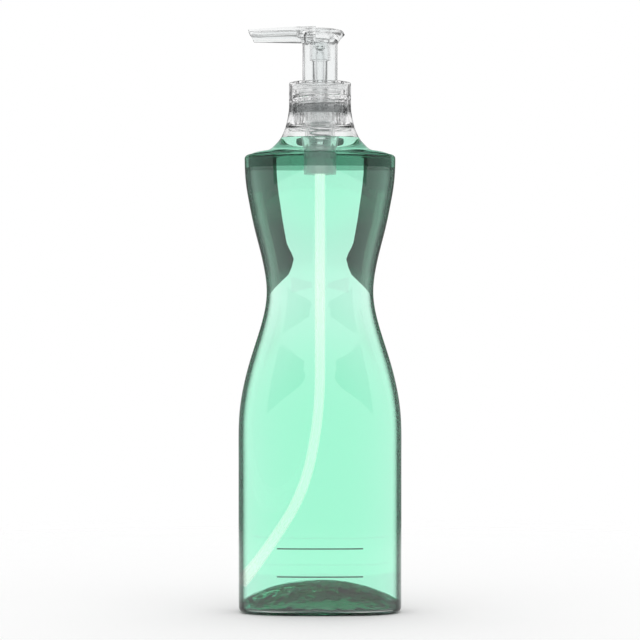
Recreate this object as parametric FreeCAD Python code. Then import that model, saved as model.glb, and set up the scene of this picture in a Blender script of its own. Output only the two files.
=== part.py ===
import FreeCAD, Part
import math
import os

# A dish soap bottle with a lotion pump. Millimetres, +Z up, the origin on the floor under the neck.
# The front faces -Y and the nozzle points along -X.

# Bottle body: half sizes in plan at three heights, and how square each plan outline is.
# A power of 2 is an ellipse, and a larger one has flatter sides.
FOOT_HALF_WIDTH = 40.65
FOOT_HALF_DEPTH = 22.0
FOOT_POWER = 2.8
HIP_HEIGHT = 90.0
WAIST_RISE = 69.0
WAIST_HALF_WIDTH = 26.65
WAIST_HALF_DEPTH = 14.4
WAIST_POWER = 2.4
SHOULDER_RISE = 65.5
SHOULDER_HALF_WIDTH = 37.65
SHOULDER_HALF_DEPTH = 20.3
SHOULDER_POWER = 2.5
# The outline between those heights: share of the change in width and depth at even steps up.
HIP_TO_WAIST = (0.0435, 0.1775, 0.385, 0.643, 0.881, 1.0)
WAIST_TO_SHOULDER = (0.089, 0.305, 0.56, 0.766, 0.936, 1.0)
STRAIGHT_STEPS = 8

# The shoulder's ridge is highest in the middle and falls away to both sides.
RIDGE_RISE = 5.1
RIDGE_RADIUS_OF_CROWN = 437.0
RIDGE_ROUNDING = 1.6
HEEL_ROUNDING = 3.0
BOTTLE_WALL = 1.1
FLOOR_THICKNESS = 2.0

# The floor is pushed up in a shallow dome, so that the bottle stands on a ring.
PUSH_UP_HEIGHT = 13.5
RING_WIDTH_AT_SIDES = 1.65
RING_WIDTH_AT_FRONT = 2.0

# Neck flare: share of the change in width, and of its height, from the shoulder up to the ledge.
FLARE_FOOT_SINK = 2.0
FLARE_FOOT_SET_BACK = 1.25
FLARE_POWER = 2.2
FLARE_HEIGHT = 14.4
FLARE_CURVE = (
    (0.112, 0.146),
    (0.153, 0.292),
    (0.188, 0.438),
    (0.244, 0.578),
    (0.354, 0.693),
    (0.465, 0.776),
    (0.583, 0.849),
    (0.715, 0.906),
    (0.833, 0.948),
)

# Neck finish for a 28 mm screw closure
NECK_RADIUS = 12.65
NECK_BORE_RADIUS = 10.8
NECK_HEIGHT = 18.6
THREAD_DEPTH = 1.35
THREAD_PITCH = 4.23
CLOSURE_TURNS = 1.5

# Neck gasket and pump housing
GASKET_THICKNESS = 1.0
GASKET_SET_BACK = 0.2
GASKET_CLEARANCE = 0.7
FLANGE_THICKNESS = 1.6
FLANGE_CLEARANCE = 0.4
CUP_CLEARANCE = 0.35
CUP_WALL = 1.25
CUP_DEPTH = 13.0
CUP_FLOOR_THICKNESS = 1.2
CUP_BEVEL = 1.0
BARREL_BORE_RADIUS = 6.6
BARREL_WALL = 1.15
BARREL_LENGTH = 30.5
CHAMBER_FLOOR_THICKNESS = 1.6
SOCKET_WALL = 1.4
SOCKET_DEPTH = 4.5
INLET_PORT_RADIUS = 1.4
BALL_WELL_RADIUS = 2.4
BALL_WELL_WALL = 1.1
BALL_WELL_HEIGHT = 5.0
BALL_WELL_LIP = 0.5

# Closure collar
COLLAR_WALL = 1.45
COLLAR_FLARE = 1.75
COLLAR_SKIRT_WALL = 1.5
COLLAR_SKIRT_HEIGHT = 11.5
COLLAR_TOP_THICKNESS = 1.5
COLLAR_TOP_CROWN = 0.5
COLLAR_TOP_ROUNDING = 0.6
COLLAR_HOLE_CLEARANCE = 0.5
COLLAR_GAP = 0.3
TURNING_GAP = 0.1

# Stem, its guide, and the piston
STEM_RADIUS = 4.0
STEM_BORE_RADIUS = 1.8
STEM_STEP = 1.0
STEM_BEAD = 0.5
STEM_BEAD_HEIGHT = 0.8
OUTLET_SEAT_DEPTH = 4.5
OUTLET_WELL_RADIUS = 2.6
OUTLET_PORT_RADIUS = 1.4
OUTLET_PORT_LENGTH = 1.0
RUNNING_CLEARANCE = 0.06
GUIDE_SPIGOT_HEIGHT = 1.6
GUIDE_FLANGE_CLEARANCE = 0.4
GUIDE_FLANGE_HEIGHT = 1.2
GUIDE_SLEEVE_WALL = 1.6
GUIDE_HEIGHT = 6.5
PISTON_HEIGHT = 4.0
PISTON_WAIST = 1.0
PISTON_LIP_HEIGHT = 0.9

# Press stroke, valves, spring and dip tube
PRESS_STROKE = 11.5
STOP_GAP = 0.2
BALL_RADIUS = 2.0
BALL_SEAT_GAP = 0.2
SPRING_RADIUS = 5.0
SPRING_WIRE_RADIUS = 0.4
SPRING_TURNS = 6.5
SPRING_WIRE_SIDES = 6
TUBE_RADIUS = 2.5
TUBE_BORE_RADIUS = 1.8
TUBE_BEND_HEIGHT = 100.0
TUBE_KNEE_X = -7.6
TUBE_KNEE_HEIGHT = 60.0
TUBE_END_MARGIN = 3.95
TUBE_END_HEIGHT = 14.0
TUBE_BEND_SHARE = 0.45

# Filling: how far its level lies under the ledge, and the room round the pump
SOAP_LEVEL_DROP = 5.7
SOAP_CLEARANCE = 0.3

# Pump head: sizes down from its top, and out from the stem
HEAD_LENGTH = 29.5
HEAD_PAD_CROWN = 1.2
HEAD_PAD_RIM_DROP = 3.0
HEAD_PAD_DEPTH = 5.4
HEAD_PAD_RADIUS = 12.4
HEAD_PAD_BEVEL = 1.15
HEAD_PAD_UNDERCUT = 2.3
HEAD_SKIN = 2.0
HEAD_RIM_WALL = 1.2
SKIRT_CLEARANCE = 0.45
SKIRT_WALL = 1.0
STEM_SOCKET_WALL = 1.1
STEM_SOCKET_DEPTH = 9.4
STEM_TOP_DROP = 6.5
NOZZLE_REACH = 35.9
NOZZLE_TIP_DROP = 1.1
NOZZLE_TIP_HALF_WIDTH = 4.6
NOZZLE_TIP_RIM_DEPTH = 3.4
NOZZLE_ROOT_RIM_DEPTH = 5.8
NOZZLE_FACE_SET_BACK = 2.9
NOZZLE_CHANNEL_DEPTH = 6.8
NOZZLE_CHANNEL_ROOT_DEPTH = 7.4
NOZZLE_CHANNEL_HALF_WIDTH = 2.7
NOZZLE_CHANNEL_ROUNDING = 2.16
NOZZLE_BORE_RADIUS = 1.5
NOZZLE_BORE_DROP = 4.5
NOZZLE_EDGE_ROUNDING = 0.7

SECTION_POINTS = 24

# Heights of the bottle, from the floor up, and radii of the closure, from the neck out
waist_height = HIP_HEIGHT + WAIST_RISE
shoulder_height = waist_height + SHOULDER_RISE
ridge_height = shoulder_height + RIDGE_RISE
flare_foot_height = ridge_height - FLARE_FOOT_SINK
flare_foot_half_width = SHOULDER_HALF_WIDTH - FLARE_FOOT_SET_BACK
ledge_height = flare_foot_height + FLARE_HEIGHT
neck_top = ledge_height + NECK_HEIGHT
collar_bore_radius = NECK_RADIUS + THREAD_DEPTH
collar_radius = collar_bore_radius + COLLAR_WALL
ledge_radius = collar_radius + COLLAR_FLARE
soap_level = ledge_height - SOAP_LEVEL_DROP

# Pump housing, down from the neck's lip
flange_bottom = neck_top + GASKET_THICKNESS
flange_top = flange_bottom + FLANGE_THICKNESS
cup_radius = NECK_BORE_RADIUS - CUP_CLEARANCE
cup_bore_radius = cup_radius - CUP_WALL
cup_floor = flange_top - CUP_DEPTH
cup_bottom = cup_floor - CUP_FLOOR_THICKNESS
barrel_radius = BARREL_BORE_RADIUS + BARREL_WALL
barrel_bottom = cup_bottom - BARREL_LENGTH
socket_radius = TUBE_RADIUS + SOCKET_WALL
socket_top = barrel_bottom + SOCKET_DEPTH
inlet_seat_height = socket_top + CHAMBER_FLOOR_THICKNESS
chamber_floor = inlet_seat_height + CHAMBER_FLOOR_THICKNESS
ball_well_top = inlet_seat_height + BALL_WELL_HEIGHT

# Moving parts, up from the guide
guide_bottom = cup_floor - GUIDE_SPIGOT_HEIGHT
piston_top = guide_bottom - TURNING_GAP
piston_bottom = piston_top - PISTON_HEIGHT
stem_neck_radius = STEM_RADIUS - STEM_STEP
skirt_radius = cup_bore_radius - SKIRT_CLEARANCE
skirt_bottom = cup_floor + STOP_GAP + PRESS_STROKE
head_top = skirt_bottom + HEAD_LENGTH
stem_top = head_top - STEM_TOP_DROP
stem_socket_bottom = stem_top - STEM_SOCKET_DEPTH
outlet_seat_height = stem_top - OUTLET_SEAT_DEPTH
nozzle_tip_top = head_top - NOZZLE_TIP_DROP
nozzle_tip_rim_bottom = head_top - NOZZLE_TIP_RIM_DEPTH
nozzle_channel_bottom = head_top - NOZZLE_CHANNEL_DEPTH


def vector(x, y, z):
    return FreeCAD.Vector(x, y, z)


def outline(height, half_width, half_depth, power):
    """One closed, smooth plan outline, between an ellipse and a rectangle."""
    points = []
    for i in range(SECTION_POINTS):
        angle = 2 * math.pi * i / SECTION_POINTS
        c = math.cos(angle)
        s = math.sin(angle)
        x = math.copysign(abs(c) ** (2 / power), c) * half_width
        y = math.copysign(abs(s) ** (2 / power), s) * half_depth
        points.append(vector(x, y, height))
    curve = Part.BSplineCurve()
    curve.interpolate(Points=points, PeriodicFlag=True)
    return Part.Wire([curve.toShape()])


def turned(profile):
    """A solid of revolution about Z from (radius, height) points."""
    points = [vector(r, 0, z) for r, z in profile]
    face = Part.Face(Part.makePolygon(points + [points[0]]))
    return face.revolve(vector(0, 0, 0), vector(0, 0, 1), 360)


def rod(radius, bottom, top):
    return Part.makeCylinder(radius, top - bottom, vector(0, 0, bottom))


def ball(radius, height):
    return Part.makeSphere(radius, vector(0, 0, height))


def between(start, end, share):
    return start + (end - start) * share


# Bottle


def body_stations():
    """Height, half width, half depth and power of each plan outline, at even steps from the floor up."""
    stations = []
    for step in range(STRAIGHT_STEPS + 1):
        height = HIP_HEIGHT * step / STRAIGHT_STEPS
        stations.append((height, FOOT_HALF_WIDTH, FOOT_HALF_DEPTH, FOOT_POWER))
    for step, change in enumerate(HIP_TO_WAIST, 1):
        share = step / len(HIP_TO_WAIST)
        stations.append(
            (
                between(HIP_HEIGHT, waist_height, share),
                between(FOOT_HALF_WIDTH, WAIST_HALF_WIDTH, change),
                between(FOOT_HALF_DEPTH, WAIST_HALF_DEPTH, change),
                between(FOOT_POWER, WAIST_POWER, change),
            )
        )
    for step, change in enumerate(WAIST_TO_SHOULDER, 1):
        share = step / len(WAIST_TO_SHOULDER)
        stations.append(
            (
                between(waist_height, shoulder_height, share),
                between(WAIST_HALF_WIDTH, SHOULDER_HALF_WIDTH, change),
                between(WAIST_HALF_DEPTH, SHOULDER_HALF_DEPTH, change),
                between(WAIST_POWER, SHOULDER_POWER, change),
            )
        )
    step = (shoulder_height - waist_height) / len(WAIST_TO_SHOULDER)
    top = shoulder_height + step
    stations.append((top, SHOULDER_HALF_WIDTH, SHOULDER_HALF_DEPTH, SHOULDER_POWER))
    return stations


def body_block(inset, bottom, heel, ridge):
    """The body as a solid, its walls moved in by inset, under the crowned shoulder."""
    wires = [outline(z, w - inset, d - inset, p) for z, w, d, p in body_stations()]
    block = Part.makeLoft(wires, True, False)
    reach = 2 * FOOT_HALF_WIDTH
    if bottom > 0:
        block = block.cut(Part.makeBox(2 * reach, 2 * reach, bottom + 1, vector(-reach, -reach, -1)))
    crown_axis = ridge_height - inset - RIDGE_RADIUS_OF_CROWN
    crown = Part.makeCylinder(
        RIDGE_RADIUS_OF_CROWN, 2 * reach, vector(0, -reach, crown_axis), vector(0, 1, 0)
    )
    crown.rotate(vector(0, 0, crown_axis), vector(0, 1, 0), 180)
    block = block.common(crown)
    heel_edges = [e for e in block.Edges if e.BoundBox.ZMax < bottom + 0.01]
    block = block.makeFillet(heel, heel_edges)
    ridge_edges = [e for e in block.Edges if e.BoundBox.ZMin > shoulder_height and e.Length > 10]
    return block.makeFillet(ridge, ridge_edges)


def flare_block(inset):
    """The flare from the shoulder up to the neck's ledge, moved in and down by inset."""
    wires = []
    for share, change in ((0, 0),) + FLARE_CURVE + ((1, 1),):
        height = between(flare_foot_height, ledge_height, share) - inset
        half_width = between(flare_foot_half_width, ledge_radius, change) - inset
        power = between(FLARE_POWER, 2, share)
        wires.append(outline(height, half_width, ledge_radius - inset, power))
    return Part.makeLoft(wires, True, False)


def dome(inset):
    """The push-up of the floor as an ellipsoid about the floor's middle."""
    half_width = FOOT_HALF_WIDTH - HEEL_ROUNDING - RING_WIDTH_AT_SIDES
    half_depth = FOOT_HALF_DEPTH - HEEL_ROUNDING - RING_WIDTH_AT_FRONT
    scale = FreeCAD.Matrix()
    scale.scale(half_width + inset, half_depth + inset, PUSH_UP_HEIGHT + inset)
    return Part.makeSphere(1).transformGeometry(scale)


def cavity():
    heel = HEEL_ROUNDING - BOTTLE_WALL
    ridge = RIDGE_ROUNDING - BOTTLE_WALL
    inside = body_block(BOTTLE_WALL, FLOOR_THICKNESS, heel, ridge)
    inside = inside.fuse(flare_block(BOTTLE_WALL))
    return inside.cut(dome(BOTTLE_WALL))


def bottle(inside):
    outside = body_block(0, 0, HEEL_ROUNDING, RIDGE_ROUNDING).fuse(flare_block(0))
    outside = outside.fuse(rod(NECK_RADIUS, ledge_height, neck_top))
    shell = outside.cut(inside).cut(dome(0))
    return shell.cut(rod(NECK_BORE_RADIUS, ledge_height - 2 * BOTTLE_WALL, neck_top))


# Pump parts that hang in the neck


def neck_gasket():
    ring = rod(collar_bore_radius - GASKET_CLEARANCE, neck_top, flange_bottom)
    return ring.cut(rod(NECK_BORE_RADIUS + GASKET_SET_BACK, neck_top, flange_bottom))


def resting_centre(seat_height, port_radius):
    """Height of a ball's centre a small gap above a 45 degree seat that starts at the port's edge."""
    return seat_height - port_radius + BALL_RADIUS * math.sqrt(2) + BALL_SEAT_GAP


def pump_housing():
    seat = inlet_seat_height
    flange_radius = collar_bore_radius - FLANGE_CLEARANCE
    well_foot = seat + BALL_WELL_RADIUS - INLET_PORT_RADIUS
    well_outside = BALL_WELL_RADIUS + BALL_WELL_WALL
    lip_radius = BALL_WELL_RADIUS - BALL_WELL_LIP
    return turned(
        (
            (cup_bore_radius, flange_top),
            (flange_radius, flange_top),
            (flange_radius, flange_bottom),
            (cup_radius, flange_bottom),
            (cup_radius, cup_bottom + CUP_BEVEL),
            (cup_radius - CUP_BEVEL, cup_bottom),
            (barrel_radius, cup_bottom),
            (barrel_radius, barrel_bottom),
            (BARREL_BORE_RADIUS, barrel_bottom),
            (BARREL_BORE_RADIUS, inlet_seat_height),
            (socket_radius, inlet_seat_height),
            (socket_radius, barrel_bottom),
            (TUBE_RADIUS, barrel_bottom),
            (TUBE_RADIUS, socket_top),
            (INLET_PORT_RADIUS, socket_top),
            (INLET_PORT_RADIUS, seat),
            (BALL_WELL_RADIUS, well_foot),
            (BALL_WELL_RADIUS, ball_well_top - 3 * BALL_WELL_LIP),
            (lip_radius, ball_well_top - 2 * BALL_WELL_LIP),
            (lip_radius, ball_well_top - BALL_WELL_LIP),
            (BALL_WELL_RADIUS, ball_well_top),
            (well_outside, ball_well_top),
            (well_outside, chamber_floor),
            (BARREL_BORE_RADIUS, chamber_floor),
            (BARREL_BORE_RADIUS, cup_floor),
            (cup_bore_radius, cup_floor),
        )
    )


def stem_guide():
    bore = STEM_RADIUS + RUNNING_CLEARANCE
    flange_radius = skirt_radius - SKIRT_WALL - GUIDE_FLANGE_CLEARANCE
    sleeve_radius = STEM_RADIUS + GUIDE_SLEEVE_WALL
    return turned(
        (
            (bore, guide_bottom),
            (BARREL_BORE_RADIUS, guide_bottom),
            (BARREL_BORE_RADIUS, cup_floor),
            (flange_radius, cup_floor),
            (flange_radius, cup_floor + GUIDE_FLANGE_HEIGHT),
            (sleeve_radius, cup_floor + GUIDE_FLANGE_HEIGHT),
            (sleeve_radius, cup_floor + GUIDE_HEIGHT),
            (bore, cup_floor + GUIDE_HEIGHT),
        )
    )


def collar():
    collar_hole_radius = skirt_radius + COLLAR_HOLE_CLEARANCE
    bottom = ledge_height + COLLAR_GAP
    underside = flange_top + TURNING_GAP
    edge_top = underside + COLLAR_TOP_THICKNESS - COLLAR_TOP_CROWN
    skirt_top = ledge_height + COLLAR_SKIRT_HEIGHT
    outside = [
        vector(collar_radius + COLLAR_FLARE * left, 0, between(bottom, skirt_top, share))
        for share, left in ((0, 1), (0.25, 0.6), (0.5, 0.3), (0.75, 0.09), (1, 0))
    ]
    skirt = Part.BSplineCurve()
    skirt.interpolate(outside)
    thread_foot = between(bottom, skirt_top, 0.6)
    path = [
        vector(collar_radius, 0, skirt_top),
        vector(collar_radius, 0, edge_top - COLLAR_TOP_ROUNDING),
        vector(collar_radius - COLLAR_TOP_ROUNDING, 0, edge_top),
        vector(collar_hole_radius, 0, underside + COLLAR_TOP_THICKNESS),
        vector(collar_hole_radius, 0, underside),
        vector(collar_bore_radius, 0, underside),
        vector(collar_bore_radius, 0, thread_foot),
        vector(ledge_radius - COLLAR_SKIRT_WALL, 0, bottom),
        outside[0],
    ]
    edges = [skirt.toShape()]
    for start, end in zip(path, path[1:]):
        edges.append(Part.makeLine(start, end))
    corner = COLLAR_TOP_ROUNDING / math.sqrt(2)
    middle = vector(
        collar_radius - COLLAR_TOP_ROUNDING + corner, 0, edge_top - COLLAR_TOP_ROUNDING + corner
    )
    edges[2] = Part.Arc(path[1], middle, path[2]).toShape()
    face = Part.Face(Part.Wire(edges))
    return face.revolve(vector(0, 0, 0), vector(0, 0, 1), 360)


# Moving parts of the pump


def stem():
    seat = outlet_seat_height
    well_foot = seat + OUTLET_WELL_RADIUS - OUTLET_PORT_RADIUS
    bead_top = piston_bottom - TURNING_GAP
    bead_bottom = bead_top - STEM_BEAD_HEIGHT
    bead_radius = stem_neck_radius + STEM_BEAD
    return turned(
        (
            (STEM_BORE_RADIUS, bead_bottom),
            (stem_neck_radius, bead_bottom),
            (bead_radius, between(bead_bottom, bead_top, 0.6)),
            (bead_radius, bead_top),
            (stem_neck_radius, bead_top),
            (stem_neck_radius, piston_top + TURNING_GAP),
            (STEM_RADIUS, piston_top + TURNING_GAP),
            (STEM_RADIUS, stem_top),
            (OUTLET_WELL_RADIUS, stem_top),
            (OUTLET_WELL_RADIUS, well_foot),
            (OUTLET_PORT_RADIUS, seat),
            (OUTLET_PORT_RADIUS, seat - OUTLET_PORT_LENGTH),
            (STEM_BORE_RADIUS, seat - 1.5 * OUTLET_PORT_LENGTH),
        )
    )


def piston():
    bore = stem_neck_radius + RUNNING_CLEARANCE
    lip = BARREL_BORE_RADIUS - RUNNING_CLEARANCE
    waist_radius = lip - PISTON_WAIST
    return turned(
        (
            (bore, piston_bottom),
            (waist_radius, piston_bottom),
            (lip, piston_bottom),
            (lip, piston_bottom + PISTON_LIP_HEIGHT),
            (waist_radius, piston_bottom + 1.5 * PISTON_LIP_HEIGHT),
            (waist_radius, piston_top - 1.5 * PISTON_LIP_HEIGHT),
            (lip, piston_top - PISTON_LIP_HEIGHT),
            (lip, piston_top),
            (bore, piston_top),
        )
    )


def spring():
    wire_radius = SPRING_WIRE_RADIUS
    bottom = chamber_floor + wire_radius
    height = piston_bottom - chamber_floor - 2 * wire_radius
    path = Part.makeHelix(height / SPRING_TURNS, height, SPRING_RADIUS)
    path.translate(vector(0, 0, bottom))
    corners = []
    for i in range(SPRING_WIRE_SIDES + 1):
        angle = 2 * math.pi * (i + 0.5) / SPRING_WIRE_SIDES
        x = SPRING_RADIUS + wire_radius * math.cos(angle)
        corners.append(vector(x, 0, bottom + wire_radius * math.sin(angle)))
    section = Part.makePolygon(corners)
    return Part.Wire(path).makePipeShell([section], True, True)


def head_pad():
    """The round pad over the stem, with the skirt and the stem's socket under it."""
    rim_foot = HEAD_PAD_RADIUS - HEAD_PAD_UNDERCUT
    edge_top = head_top - HEAD_PAD_CROWN
    rim_height = head_top - HEAD_PAD_RIM_DROP
    underside = head_top - HEAD_PAD_DEPTH
    return turned(
        (
            (0, head_top),
            (HEAD_PAD_RADIUS / 2, between(edge_top, head_top, 0.75)),
            (HEAD_PAD_RADIUS - HEAD_PAD_BEVEL, edge_top),
            (HEAD_PAD_RADIUS, rim_height),
            (rim_foot, underside),
            (skirt_radius, underside - HEAD_PAD_UNDERCUT),
            (skirt_radius, skirt_bottom),
            (skirt_radius - SKIRT_WALL, skirt_bottom),
            (skirt_radius - SKIRT_WALL, head_top - HEAD_SKIN),
            (STEM_RADIUS + STEM_SOCKET_WALL, head_top - HEAD_SKIN),
            (STEM_RADIUS + STEM_SOCKET_WALL, stem_socket_bottom),
            (STEM_RADIUS, stem_socket_bottom),
            (STEM_RADIUS, stem_top + STOP_GAP),
            (0, stem_top + STOP_GAP),
        )
    )


def plan_prism(inset):
    """The nozzle's tapering plan, from its tip to the pad, as a tall prism."""
    radius = HEAD_PAD_RADIUS - HEAD_PAD_BEVEL - inset
    tip_x = -NOZZLE_REACH + inset
    tip_y = NOZZLE_TIP_HALF_WIDTH - inset
    reach = math.hypot(tip_x, tip_y)
    bearing = math.atan2(tip_y, -tip_x) + math.acos(radius / reach)
    touch_x = -radius * math.cos(bearing)
    touch_y = radius * math.sin(bearing)
    corners = [
        vector(tip_x, -tip_y, 0),
        vector(touch_x, -touch_y, 0),
        vector(touch_x, touch_y, 0),
        vector(tip_x, tip_y, 0),
        vector(tip_x, -tip_y, 0),
    ]
    return Part.Face(Part.makePolygon(corners)).extrude(vector(0, 0, head_top + 10))


def side_prism(corners, half_width):
    """A flat side profile of (x, height) points, made half_width thick to both sides."""
    points = [vector(x, -half_width, z) for x, z in corners]
    face = Part.Face(Part.makePolygon(points + [points[0]]))
    return face.extrude(vector(0, 2 * half_width, 0))


def nozzle():
    """The cover plate of the nozzle, hollow from below, with the channel under it."""
    face_slope = NOZZLE_FACE_SET_BACK / (nozzle_tip_top - nozzle_channel_bottom)
    rim_x = -NOZZLE_REACH + (nozzle_tip_top - nozzle_tip_rim_bottom) * face_slope
    mouth_x = -NOZZLE_REACH + NOZZLE_FACE_SET_BACK
    plate = side_prism(
        (
            (-NOZZLE_REACH, nozzle_tip_top),
            (-NOZZLE_REACH / 2, between(nozzle_tip_top, head_top, 0.7)),
            (0, head_top),
            (0, head_top - NOZZLE_ROOT_RIM_DEPTH),
            (rim_x, nozzle_tip_rim_bottom),
        ),
        HEAD_PAD_RADIUS,
    ).common(plan_prism(0))
    long_edges = [
        e for e in plate.Edges
        if e.BoundBox.ZMin > nozzle_tip_top - 0.01 and e.BoundBox.XLength > 5 and abs(e.CenterOfMass.y) > 1
    ]
    tip_edges = [
        e for e in plate.Edges
        if e.BoundBox.XMax < -NOZZLE_REACH + 0.01 and e.BoundBox.YLength > 5
    ]
    plate = plate.makeFillet(NOZZLE_EDGE_ROUNDING, long_edges + tip_edges)
    hollow = side_prism(
        (
            (-NOZZLE_REACH + HEAD_RIM_WALL + 1, nozzle_tip_top - HEAD_RIM_WALL),
            (0, head_top - HEAD_SKIN),
            (0, head_top - NOZZLE_ROOT_RIM_DEPTH - 1),
            (rim_x + HEAD_RIM_WALL, nozzle_tip_rim_bottom - 1),
        ),
        HEAD_PAD_RADIUS,
    ).common(plan_prism(HEAD_RIM_WALL))
    channel = side_prism(
        (
            (rim_x, nozzle_tip_rim_bottom),
            (-NOZZLE_REACH + HEAD_RIM_WALL, nozzle_tip_top - HEAD_RIM_WALL),
            (0, head_top - HEAD_SKIN),
            (0, head_top - NOZZLE_CHANNEL_ROOT_DEPTH),
            (mouth_x, nozzle_channel_bottom),
        ),
        NOZZLE_CHANNEL_HALF_WIDTH,
    )
    lower_edges = [
        e for e in channel.Edges
        if e.BoundBox.ZMax < nozzle_channel_bottom + 0.01 and e.BoundBox.XLength > 5
    ]
    channel = channel.makeFillet(NOZZLE_CHANNEL_ROUNDING, lower_edges)
    return plate.cut(hollow).fuse(channel)


def pump_head():
    pad = head_pad()
    well = rod(STEM_RADIUS, stem_socket_bottom, stem_top + STOP_GAP)
    inside_skirt = rod(skirt_radius - SKIRT_WALL / 2, stem_socket_bottom, head_top - HEAD_SKIN)
    arm = nozzle()
    head = pad.fuse(arm.cut(inside_skirt))
    channel_inside = arm.common(inside_skirt)
    head = head.fuse(channel_inside).cut(well)
    bore_height = head_top - NOZZLE_BORE_DROP
    bore = Part.makeCylinder(
        NOZZLE_BORE_RADIUS, NOZZLE_REACH, vector(-NOZZLE_REACH, 0, bore_height), vector(1, 0, 0)
    )
    rise = rod(NOZZLE_BORE_RADIUS, stem_top, bore_height)
    return head.cut(bore).cut(rise).removeSplitter()


# Dip tube, and the soap round it


def tube_route(offset, beyond):
    """The tube's path in the XZ plane, from the socket down: straight runs and the largest arcs they allow.
    Offset moves the path sideways, to the outside of its bends, and beyond lengthens its last run."""
    end_x = BOTTLE_WALL + TUBE_END_MARGIN - FOOT_HALF_WIDTH
    corners = [
        vector(0, 0, socket_top),
        vector(0, 0, TUBE_BEND_HEIGHT),
        vector(TUBE_KNEE_X, 0, TUBE_KNEE_HEIGHT),
        vector(end_x, 0, TUBE_END_HEIGHT),
    ]
    edges = []
    start = corners[0] + vector(offset, 0, 0)
    for before, corner, after in zip(corners, corners[1:], corners[2:]):
        incoming = (corner - before).normalize()
        outgoing = (after - corner).normalize()
        reach = TUBE_BEND_SHARE * min((corner - before).Length, (after - corner).Length)
        half_turn = incoming.getAngle(outgoing) / 2
        radius = reach / math.tan(half_turn)
        inward = (outgoing - incoming).normalize()
        centre = corner + inward * (radius / math.cos(half_turn))
        entry = centre + (corner - incoming * reach - centre).normalize() * (radius + offset)
        middle = centre - inward * (radius + offset)
        leaving = centre + (corner + outgoing * reach - centre).normalize() * (radius + offset)
        edges.append(Part.makeLine(start, entry))
        edges.append(Part.Arc(entry, middle, leaving).toShape())
        start = leaving
    end = corners[-1] + outgoing * beyond + vector(-outgoing.z, 0, outgoing.x) * offset
    edges.append(Part.makeLine(start, end))
    return edges


def swept_tube(radius):
    ring = Part.makeCircle(radius, vector(0, 0, socket_top), vector(0, 0, -1))
    return Part.Wire(tube_route(0, 0)).makePipeShell([Part.Wire([ring])], True, False)


def dip_tube():
    return swept_tube(TUBE_RADIUS).cut(swept_tube(TUBE_BORE_RADIUS))


def tube_slot(lift):
    """A flat-sided slot that holds the tube's bent part, and its way up when the pump rises by lift."""
    room = TUBE_RADIUS + SOAP_CLEARANCE + TURNING_GAP
    lower = tube_route(room, SOAP_CLEARANCE)[1:]
    resting = tube_route(-room, SOAP_CLEARANCE)[1:]
    upper = [edge.translated(vector(0, 0, lift)) for edge in resting]
    foot = [lower[-1].Vertexes[-1].Point, resting[-1].Vertexes[-1].Point, upper[-1].Vertexes[-1].Point]
    head = [upper[0].Vertexes[0].Point, lower[0].Vertexes[0].Point]
    ends = Part.makePolygon(foot).Edges + Part.makePolygon(head).Edges
    band = Part.Face(Part.Wire(Part.__sortEdges__(lower + upper + ends)))
    return band.extrude(vector(0, 2 * room, 0)).translated(vector(0, -room, 0))


def dish_soap(inside):
    """The filling: the cavity up to the level, with room for the pump and for its lift."""
    reach = 2 * FOOT_HALF_WIDTH
    below = Part.makeBox(2 * reach, 2 * reach, soap_level, vector(-reach, -reach, 0))
    soap = inside.common(below)
    soap = soap.cut(rod(barrel_radius + SOAP_CLEARANCE, barrel_bottom - SOAP_CLEARANCE, soap_level))
    soap = soap.cut(rod(TUBE_RADIUS + SOAP_CLEARANCE, TUBE_BEND_HEIGHT, barrel_bottom))
    return soap.cut(tube_slot(CLOSURE_TURNS * THREAD_PITCH))


os.makedirs("parts", exist_ok=True)

inside_of_bottle = cavity()
inlet_ball_height = resting_centre(inlet_seat_height, INLET_PORT_RADIUS)
outlet_ball_height = resting_centre(outlet_seat_height, OUTLET_PORT_RADIUS)
nodes = {
    "bottle": bottle(inside_of_bottle),
    "dish_soap": dish_soap(inside_of_bottle),
    "collar": collar(),
    "neck_gasket": neck_gasket(),
    "pump_housing": pump_housing(),
    "stem_guide": stem_guide(),
    "pump_head": pump_head(),
    "stem": stem(),
    "piston": piston(),
    "spring": spring(),
    "inlet_ball": ball(BALL_RADIUS, inlet_ball_height),
    "outlet_ball": ball(BALL_RADIUS, outlet_ball_height),
    "dip_tube": dip_tube(),
}
for name, shape in nodes.items():
    shape.exportStep("parts/" + name + ".step")
    print(name, len(shape.Solids), shape.isValid(), round(shape.Volume / 1000, 2), "ml")
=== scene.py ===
import math
import bmesh
import bpy
import numpy as np
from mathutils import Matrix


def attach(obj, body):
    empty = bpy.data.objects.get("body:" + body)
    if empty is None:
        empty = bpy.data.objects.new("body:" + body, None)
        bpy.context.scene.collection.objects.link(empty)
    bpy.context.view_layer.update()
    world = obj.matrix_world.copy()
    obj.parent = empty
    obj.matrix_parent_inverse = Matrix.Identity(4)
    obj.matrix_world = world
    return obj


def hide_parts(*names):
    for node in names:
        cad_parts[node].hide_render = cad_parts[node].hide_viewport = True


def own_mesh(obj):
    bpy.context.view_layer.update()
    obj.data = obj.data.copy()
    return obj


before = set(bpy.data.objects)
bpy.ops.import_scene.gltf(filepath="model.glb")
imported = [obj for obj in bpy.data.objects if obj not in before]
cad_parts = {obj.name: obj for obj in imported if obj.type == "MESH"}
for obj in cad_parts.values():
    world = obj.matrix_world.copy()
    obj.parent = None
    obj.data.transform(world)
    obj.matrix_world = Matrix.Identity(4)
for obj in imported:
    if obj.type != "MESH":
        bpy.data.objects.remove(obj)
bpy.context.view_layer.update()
MM = 0.001


# Bottle: one clear shell, blown from a tube of plastic, so its wall is even and its corners are soft.
# Plan outlines are flattened ovals, drawn in at the waist, and the floor is pushed up to stand on a ring.

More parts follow.
